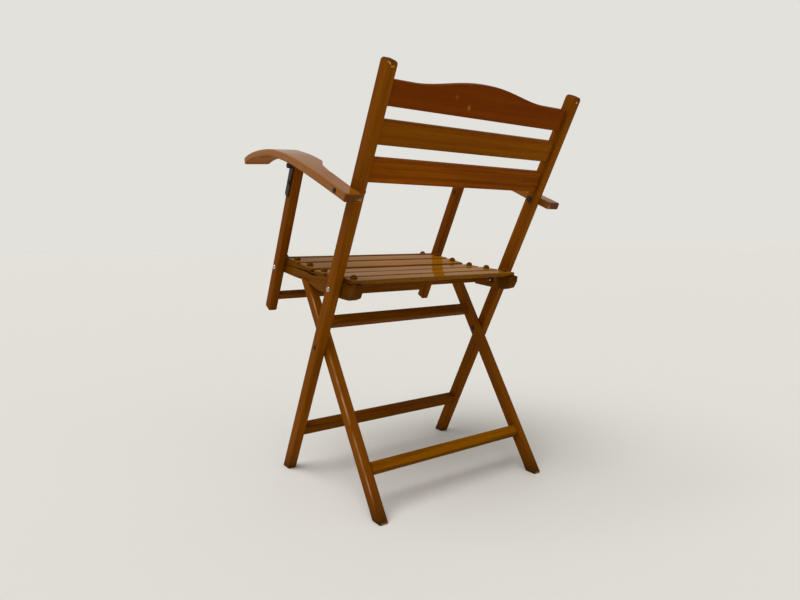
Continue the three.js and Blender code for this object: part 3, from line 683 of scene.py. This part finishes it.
seat = {
    "half": 0.2080,
    "thick": 0.0084,
    "edgeRound": 0.0032,
    "endEase": (0.0022, 0.0022, 0.0022),
    "pegIn": 0.0125,
    "pegHead": (0.0071, 0.0076),
}
slatShares = [
    (-0.718, 0.144, 0.134, -0.12), (-0.552, 0.1335, 0.145, 0.14), (-0.391, 0.1062, 0.145, 0.19),
    (-0.2215, 0.08, 0.124, 0.1), (-0.063, 0.0675, 0.145, 0.075), (0.0945, 0.0545, 0.11, 0.1),
]  # along, up to the top face, width, fall towards the rear


# profile of a peg with a domed head: shank, rim, then a quarter ellipse up to the axis
def pegProfile():
    radius, height = seat["pegHead"]
    angle = np.radians(np.linspace(0, 88, 9))
    dome = np.c_[radius * np.cos(angle), 0.0012 + (height - 0.0012) * np.sin(angle)]
    under = [(0.0004, -0.016), (0.0022, -0.0158), (0.0024, -0.0152), (0.0024, 0.0003),
             (radius - 0.0008, 0.0003), (radius - 0.0001, 0.0006)]
    return np.vstack([under, dome])


# seat: each slat a bar across, tilted by its fall, with a peg near each end
def buildSeat():
    for index, (along, up, width, fall) in enumerate(slatShares):
        number = str(index + 1)
        middle = onSeat(along, up)
        rearward = np.array([0, 1, -fall]) / math.hypot(1, fall)
        upward = np.array([0, fall, 1]) / math.hypot(1, fall)
        # each slat's rear edge gets a painted shade from its shaded side
        look = {"shift": (9.0 + 0.8 * index, 0.41 * index, 0.23 * index), "edgeWear": 0.32,
                "startWear": 0.25, "endWear": 0.25, "shadedSide": (1, 0.47, 0.4)}
        start = middle - upward * seat["thick"] / 2 - seat["half"] * sideways
        size = (seatUnit * width, seat["thick"], seat["edgeRound"])
        slat = bar("seat_slat_" + number + "_wood", start, sideways, rearward, 2 * seat["half"], size,
                   (seat["endEase"], seat["endEase"]), look)
        finishPiece(slat, "seat", ["seat_slat_" + number], woods["slats"])
        for side, word in sides:
            foot = middle + side * (seat["half"] - seat["pegIn"]) * sideways
            name = "slat_" + number + "_peg_" + word
            look = {"shift": (0.2 * index, side, 0), "wear": 0.3}
            peg = turned(name + "_wood", pegProfile(), foot, upward, look)
            finishPiece(peg, "seat", [name], woods["pegs"])


# an edge of the solid rail and how far it is lowered, both in shares of the seat's unit; only points within reach
# of the line and further out than beside are moved
railTop = {
    "line": [(-0.785, 0.122), (-0.73, 0.137), (-0.659, 0.138), (-0.556, 0.128), (-0.433, 0.1065),
             (-0.312, 0.082), (-0.191, 0.065), (-0.067, 0.058), (0.04, 0.051), (0.17, 0.037)],
    "lowered": [(-0.659, 0), (-0.587, 0.001), (-0.530, 0.0035), (-0.474, 0.0056), (-0.421, 0.0086),
                (-0.368, 0.0098), (-0.307, 0.0115), (-0.256, 0.0101), (-0.198, 0.0072), (-0.085, 0.0045),
                (0, 0.0045), (0.08, 0.006), (0.171, 0.011)],
    "reach": 0.0035,
    "beside": 0.2015,
}
railUnder = {
    "line": [(-0.775, 0.066), (-0.6505, 0.0575), (-0.4086, 0.0275), (-0.2366, -0.001), (-0.126, -0.0175),
             (0.035, -0.0395), (0.1, -0.044)],
    "lowered": [(-0.70, 0), (-0.65, 0.002), (-0.569, 0.005), (-0.479, 0.005), (-0.41, 0.002), (-0.33, 0.009),
                (-0.236, 0.018), (-0.19, 0.020), (-0.126, 0.018), (-0.06, 0.015), (0, 0.012), (0.06, 0.010),
                (0.15, 0.009)],
    "reach": 0.0056,
    "beside": 0,
}
railCuts = (-0.36, -0.33, -0.30, -0.27, -0.21, -0.18, -0.15, -0.09, -0.05, 0.0, 0.07, 0.12)
# the darkening along each rail is a painted shade over its rear part
railMarks = {"endGrain": [(0.160, 0), (0.172, 0.9)], "darkening": [(0.03, 0), (0.07, 0.4)]}  # amounts along the rail


# rails: a copy of each solid, cut across at railCuts for more points, with its upper edge lowered beside the
# slats' ends, so that those show, and its lower edge lowered on the whole width, most of all behind the short leg
def buildRails():
    for side, word in sides:
        source = frame["nodes"]["seat_rail_" + word]
        mesh = source.data.copy()
        shape = bmesh.new()
        shape.from_mesh(mesh)
        shape.transform(source.matrix_world)
        bmesh.ops.remove_doubles(shape, verts=shape.verts, dist=1e-6)
        for share in railCuts:
            bmesh.ops.bisect_plane(shape, geom=shape.verts[:] + shape.edges[:] + shape.faces[:],
                                   plane_co=onSeat(share, 0), plane_no=(0, 1, 0))
        bmesh.ops.recalc_face_normals(shape, faces=shape.faces)
        shape.to_mesh(mesh)
        shape.free()
        points = np.empty(3 * len(mesh.vertices))
        mesh.vertices.foreach_get("co", points)
        points = points.reshape(-1, 3)
        along, up = ((points[:, 1:] - seatRear[1:]) / seatUnit).T
        for sign, values in ((1, railTop), (-1, railUnder)):
            above = sign * (up - throughPairs(along, values["line"])) * seatUnit
            onEdge = (above > -values["reach"]) & (np.abs(points[:, 0]) > values["beside"])
            points[:, 2] -= onEdge * throughPairs(along, values["lowered"]) * seatUnit
        mesh.vertices.foreach_set("co", points.ravel())
        fibre = np.stack([-points[:, 1], points[:, 0], points[:, 2]], -1) + [7.0 * side, 0, 0.6]
        mesh.attributes.new("fibre", "FLOAT_VECTOR", "POINT").data.foreach_set("vector", fibre.ravel())
        for label, pairs in railMarks.items():
            mark = throughPairs(along, pairs)
            mesh.attributes.new(label, "FLOAT", "POINT").data.foreach_set("value", mark)
        mesh.polygons.foreach_set("use_smooth", np.ones(len(mesh.polygons), bool))
        mesh.set_sharp_from_angle(angle=math.radians(50))
        mesh.materials.clear()
        mesh.update()
        piece = addObject("seat_rail_" + word + "_wood", mesh)
        finishPiece(piece, "seat", ["seat_rail_" + word], woods["rails"])


buildSeat()
buildRails()
print("seat built")


arm = {
    "unit": 0.456,  # the line's places are shares of this
    "thick": 0.015,
    "outer": 0.2653,
    "inner": [(0.50, 0.2304), (-0.080, 0.2304), (-0.123, 0.2224), (-0.156, 0.2054), (-0.60, 0.2054)],
    "cornerRound": 0.008,
    "edgeRound": 0.0032,
    "rearEase": (0.0022, 0.0022, 0.0022),
    "noseEase": (0.0085, 0.0066, 0.0066),
    "noseCrown": 0.0006,
    "noseDrop": 0.0030,  # of the middle of the rounded nose
    "twist": [(0, 0), (0.035, 0), (0.073, 0.03), (0.114, 0.07), (0.145, 0.05), (0.175, 0.033), (0.21, 0.028),
              (0.28, 0.040), (0.36, 0.062), (0.45, 0.070)],
    "rearChip": (0.004, 0.0058, 1.05),
    "mattUnder": (0.85, 0.3),
}  # twist: rise of the inner edge for each unit across, at distances from the rear end; chip: inset, reach, amount;
# matt underside: amount, and the share of the thickness below the middle where it starts
armLine = [
    (0.0723, -0.0344), (0.0075, -0.0064), (-0.1917, 0.0762), (-0.3312, 0.131), (-0.4407, 0.1686),
    (-0.5304, 0.1925), (-0.6001, 0.2073), (-0.6957, 0.2169), (-0.7894, 0.219), (-0.8591, 0.2141),
    (-0.9054, 0.205),
]  # along, up, from the rear pivot


# smooth line through the points: on each span a cubic whose slope at a point is half the step between the
# points beside it, then even steps of its length
def smoothLine(points, steps):
    points = np.array(points, float)
    padded = np.vstack([points[0], points, points[-1]])
    share = np.linspace(0, len(points) - 1 - 1e-9, 1200)
    span = share.astype(int)
    t = (share - span)[:, None]
    p0, p1, p2, p3 = padded[span], padded[span + 1], padded[span + 2], padded[span + 3]
    v0, v1 = (p2 - p0) / 2, (p3 - p1) / 2
    line = (2 * p1 - 2 * p2 + v0 + v1) * t**3 + (-3 * p1 + 3 * p2 - 2 * v0 - v1) * t**2 + v0 * t + p1
    travelled = np.r_[0, np.cumsum(np.linalg.norm(np.diff(line, axis=0), axis=1))]
    even = np.linspace(0, travelled[-1], steps)
    return np.c_[np.interp(even, travelled, line[:, 0]), np.interp(even, travelled, line[:, 1])], even


# even points on the arm's line, the unit direction at each from its neighbours, and the distance travelled
def armStations(steps):
    line, even = smoothLine(np.array(armLine) * arm["unit"], steps)
    points = armRear + np.c_[np.zeros(steps), line]
    ways = np.gradient(points, axis=0)
    ways = ways / np.linalg.norm(ways, axis=1)[:, None]
    return points, ways, even


# armrest: section carried along the arm's line between its inner and outer edge, both drawn in at the rounded
# front corners by r - sqrt(r^2 - (r - t)^2); its upper side leans by twist * (outer - x)
def buildArmrests():
    points, ways, even = armStations(170)
    length = even[-1] + arm["thick"] / 2
    alongA, insetA, shrinkA = endRows(arm["rearEase"], 0)
    alongB, insetB, shrinkB = endRows(arm["noseEase"], arm["noseCrown"])
    between = np.linspace(alongA[-1], length - alongB[-1], 180)[1:-1]
    along = np.r_[alongA, between, (length - alongB)[::-1]]
    inset = np.r_[arm["rearEase"][1] * insetA, np.zeros(len(between)), (arm["noseEase"][1] * insetB)[::-1]]
    shrink = np.r_[shrinkA, np.ones(len(between)), shrinkB[::-1]]
    inside = np.clip(along, 0, even[-1])
    middle = np.stack([np.interp(inside, even, points[:, axis]) for axis in range(3)], -1)
    way = np.stack([np.interp(inside, even, ways[:, axis]) for axis in range(3)], -1)
    middle = middle + way * (along - inside)[:, None]
    inner = throughPairs(middle[:, 1] - armRear[1], arm["inner"][::-1])
    kernel = np.array([0.25, 0.5, 0.25])
    inner = np.convolve(np.pad(inner, 1, mode="edge"), kernel, mode="valid")
    toTip = np.clip(length - along, 0, arm["cornerRound"])
    drawn = arm["cornerRound"] - np.sqrt(arm["cornerRound"] ** 2 - (arm["cornerRound"] - toTip) ** 2)
    wide = arm["outer"] - inner - 2 * drawn
    corner = np.maximum(arm["edgeRound"] - inset, leastRound) * shrink
    a, b, edge = roundedRings((wide - 2 * inset) * shrink, (arm["thick"] - 2 * inset) * shrink, corner)
    turn = throughPairs(along, arm["twist"])
    drop = arm["noseDrop"] * np.r_[0 * insetA, np.zeros(len(between)), insetB[::-1]]
    matt, mattFrom = arm["mattUnder"]
    for side, word in sides:
        upward = np.stack([np.zeros(len(way)), way[:, 2], -way[:, 1]], -1)
        centre = middle + side * ((arm["outer"] + inner) / 2)[:, None] * sideways
        fromOuter = ((arm["outer"] - inner) / 2)[:, None] - a
        lift = b + turn[:, None] * fromOuter - drop[:, None]
        rings = centre[:, None] + side * a[..., None] * sideways + lift[..., None] * upward[:, None]
        fibre = np.stack([np.broadcast_to(along[:, None], a.shape), a + inner[:, None], b], -1)
        fibre = fibre + np.array([13.0 + side, 0.4 * side, 0.7])
        chipIn, chipReach, chipAmount = arm["rearChip"]
        rearCorner = points[0] + side * (arm["inner"][0][1] + chipIn) * sideways - [0, 0, chipIn]
        look = {"edgeWear": 0.2, "startWear": 0.3, "spots": [(rearCorner, chipReach, chipAmount)]}
        rest = skinRings("armrest_" + word + "_wood", rings, fibre, {
            "wear": wearOf(rings, edge, along, length, look), "endGrain": endGrainOf(len(along)),
            "matt": matt * (b < -arm["thick"] * mattFrom)})
        finishPiece(rest, word + "_armrest", ["armrest_" + word], woods["arms"])


strap = {
    "wide": 0.015, "thick": 0.003, "below": 0.032, "leafWide": 0.021, "leafHalf": 0.022,
    "knuckle": (0.0055, 0.012), "gap": 0.0047, "forward": 0.004, "tongueForward": 0.003, "leafUp": 0.0002,
    "tongueRound": 0.0008, "tongueShort": 0.001, "leafRound": 0.0007, "leafEase": (0.0030, 0.0030, 0.0005),
}


# strap: a tongue with a half-round lower end, a knuckle across its top, and a leaf that follows the armrest
def buildStraps():
    points, ways, even = armStations(400)
    offset = points - armFront
    beside = offset[:, 1] * longWay[2] - offset[:, 2] * longWay[1]
    over = int(np.argmin(np.abs(beside)))
    rise = float(np.linalg.norm(offset[over]))
    upward = np.array([0, ways[over][2], -ways[over][1]])
    under = -arm["thick"] / 2 - chair["fit"]
    knuckleUp = rise + under - strap["thick"] - strap["gap"] - strap["knuckle"][0]
    half = strap["wide"] / 2
    for side, word in sides:
        name, body, iron = "arm_strap_" + word, word + "_armrest", metals["dark_iron"]
        start = armFront - longWay * strap["below"] - squareWay(longWay) * strap["tongueForward"]
        start = start + side * (legOuter + strap["thick"] / 2) * sideways
        length = rise + under + strap["below"] - strap["tongueShort"]
        tongue = bar(name + "_tongue", start, longWay, squareWay(longWay) * side, length,
                     (strap["wide"], strap["thick"], strap["tongueRound"]),
                     ((half, half - 0.0002, 0.0006), sharpEnd), {}, rows=30)
        finishPiece(tongue, body, [name], iron)
        radius, wide = strap["knuckle"]
        centre = armFront + longWay * knuckleUp - squareWay(longWay) * strap["forward"]
        profile = [(0.0006, 0), (radius - 0.0008, 0), (radius - 0.0002, 0.0003), (radius, 0.0009),
                   (radius, wide * 0.48), (radius - 0.0004, wide * 0.5), (radius, wide * 0.52),
                   (radius, wide - 0.0009), (radius - 0.0002, wide - 0.0003), (radius - 0.0008, wide),
                   (0.0006, wide)]
        inward = centre + side * legOuter * sideways
        knuckle = turned(name + "_knuckle", profile, inward, sideways * side, {}, around=36)
        finishPiece(knuckle, body, [], iron)
        middle = points[over] + upward * (under - strap["thick"] / 2 + strap["leafUp"])
        middle = middle + side * (legOuter + strap["leafWide"] / 2) * sideways
        leaf = bar(name + "_leaf", middle - ways[over] * strap["leafHalf"], ways[over], sideways * side,
                   2 * strap["leafHalf"], (strap["leafWide"], strap["thick"], strap["leafRound"]),
                   (strap["leafEase"], strap["leafEase"]), {}, rows=16)
        finishPiece(leaf, body, [], iron)


buildArmrests()
buildStraps()
print("armrests and straps built")


boltRadius = 0.003
boltPlaces = {
    "leg_cross": (legCross, chair["halfWide"], railInner, (0.005, 0.0024), "back_frame", "dark_iron"),
    "seat_rear": (seatRear, chair["halfWide"], railInner, (0.0055, 0.0035), "back_frame", "bright_steel"),
    "seat_front": (seatFront, chair["halfWide"], railInner, (0.0055, 0.0035), "arm_frame", "bright_steel"),
    "arm_rear": (armRear, arm["outer"], legInner, (0.005, 0.0024), "back_frame", "dark_iron"),
    "arm_front": (armFront, legOuter + strap["thick"], legInner, (0.005, 0.0024), "arm_frame", "dark_iron"),
}  # axis, outer and inner face, radius and height of the head, body, metal
nutSize = {"across": 0.0064, "thick": 0.0045, "tail": 0.0012}
flatNut = {"across": 0.0056, "thick": 0.0024, "tail": 0.0004}  # at the front arm pivots and where the legs cross
nutEdge, nutHub = 0.0005, 0.0032  # height of the chamfer, radius of the flat middle


# bolt profile from its tail to the top of its head: shank, then a quarter ellipse
def boltProfile(length, head):
    angle = np.radians(np.linspace(0, 88, 9))
    dome = np.c_[head[0] * np.cos(angle), head[1] * (0.12 + 0.88 * np.sin(angle))]
    shank = [(0.0003, -length), (boltRadius - 0.0004, -length), (boltRadius, -length + 0.0004),
             (boltRadius, -0.0001), (head[0] - 0.0003, 0)]
    return np.vstack([shank, dome])


# hexagonal nut: six flats with radius across / cos(angle within 30 degrees), its faces chamfered
def buildNut(name, point, inner, side, size):
    angle = np.linspace(0, 2 * math.pi, 48, endpoint=False)
    within = (angle + math.pi / 6) % (math.pi / 3) - math.pi / 6
    flat = size["across"] * math.cos(math.pi / 6) / np.cos(within)
    heights = np.array([0, 0, nutEdge, size["thick"] - nutEdge, size["thick"], size["thick"]])
    limits = np.array([0.55, 0.90, 1.0, 1.0, 0.90, 0.55])
    radius = np.minimum(flat[None, :], 2 * size["across"] * limits[:, None] - size["across"])
    radius = np.where(limits[:, None] < 0.6, nutHub, radius)
    start = inner - chair["fit"]
    rings = np.stack([
        np.broadcast_to(side * (start - heights)[:, None], radius.shape),
        point[1] + radius * np.cos(angle), point[2] + radius * np.sin(angle)], -1)
    return skinRings(name, rings, rings, {})


# bolts: each runs from outside its joint to past its nut, and the right ones mirror the left ones
def buildBolts():
    for name, (point, outer, inner, head, body, metal) in boltPlaces.items():
        size = flatNut if name in ("arm_front", "leg_cross") else nutSize
        nutMetal = "varnished_iron" if name == "arm_front" else "dark_iron"
        start = outer + chair["fit"]
        length = start - inner + chair["fit"] + size["thick"] + size["tail"]
        for side, word in sides:
            bolt = turned(name + "_bolt_" + word + "_metal", boltProfile(length, head),
                          point + side * start * sideways, sideways * side, {}, around=36)
            finishPiece(bolt, body, [name + "_bolt_" + word], metals[metal])
            nut = buildNut(name + "_nut_" + word + "_metal", point, inner, side, size)
            finishPiece(nut, body, [name + "_nut_" + word], metals[nutMetal])


buildBolts()
print("bolts and nuts built")


studio = {
    "floor": (234, 232, 226),
    "backdrop": (226, 225, 220),  # as the camera and gloss see it
    "ambient": 0.42,  # share of the backdrop that lights the chair
    "key": {"from": (0.45, 0.05, 0.90), "strength": 1.9, "angle": 50},
    "fill": {"from": (-0.15, 0.9, 0.45), "strength": 0.3, "angle": 60},
}


# floor: one square that reaches the horizon
def makeFloor():
    mesh = bpy.data.meshes.new("studio_floor")
    reach = 30.0
    corners = [(-reach, -reach, 0), (reach, -reach, 0), (reach, reach, 0), (-reach, reach, 0)]
    mesh.from_pydata(corners, [], [(0, 1, 2, 3)])
    floor = addObject("studio_floor", mesh)
    material, _, shader = newMaterial("pale_floor")
    shader.inputs["Base Color"].default_value = tone(*studio["floor"])
    shader.inputs["Roughness"].default_value = 0.7
    mesh.materials.append(material)


# world: strength 1 where the camera or gloss sees the backdrop, and ambient where it lights the chair
def makeWorld():
    world = bpy.data.worlds.new("studio")
    bpy.context.scene.world = world
    world.use_nodes = True
    tree = world.node_tree
    back = tree.nodes["Background"]
    back.inputs["Color"].default_value = tone(*studio["backdrop"])
    path = tree.nodes.new("ShaderNodeLightPath")
    seen = addMath(tree, "MAXIMUM", path.outputs["Is Camera Ray"], path.outputs["Is Glossy Ray"])
    seen = addMath(tree, "MAXIMUM", seen, path.outputs["Is Transmission Ray"])
    strength = addMath(tree, "ADD", times(tree, seen, 1 - studio["ambient"]), studio["ambient"])
    tree.links.new(strength, back.inputs["Strength"])


# sun whose light comes from the given direction, spread over its angle
def addSun(name, values):
    lamp = bpy.data.lights.new(name, "SUN")
    lamp.energy, lamp.angle = values["strength"], math.radians(values["angle"])
    item = addObject(name, lamp)
    item.rotation_mode = "QUATERNION"
    item.rotation_quaternion = Vector(values["from"]).to_track_quat("Z", "Y")


camera = {"at": (0.75702, 1.04857, 0.50979), "yaw": -0.61131, "pitch": -0.10245, "roll": -0.00686,
          "lens": 26.615}


# camera of the photograph: forward from yaw and pitch, right = forward x up, then both turned by roll
def makeCamera():
    yaw, pitch, roll = camera["yaw"], camera["pitch"], camera["roll"]
    forward = np.array([math.sin(yaw) * math.cos(pitch), -math.cos(yaw) * math.cos(pitch), math.sin(pitch)])
    right = np.cross(forward, [0, 0, 1.0])
    right = right / np.linalg.norm(right)
    up = np.cross(right, forward)
    turnedRight = math.cos(roll) * right + math.sin(roll) * up
    turnedUp = -math.sin(roll) * right + math.cos(roll) * up
    data = bpy.data.cameras.new("photo_camera")
    data.sensor_width, data.lens = 36.0, camera["lens"]
    item = addObject("photo_camera", data)
    turn = Matrix(np.c_[turnedRight, turnedUp, -forward].tolist()).to_4x4()
    item.matrix_world = Matrix.Translation(camera["at"]) @ turn
    bpy.context.scene.camera = item


makeFloor()
makeWorld()
for sunName in ("key", "fill"):
    addSun(sunName + "_sun", studio[sunName])
makeCamera()
bpy.context.scene.view_settings.view_transform = "Standard"
print("scene ready")
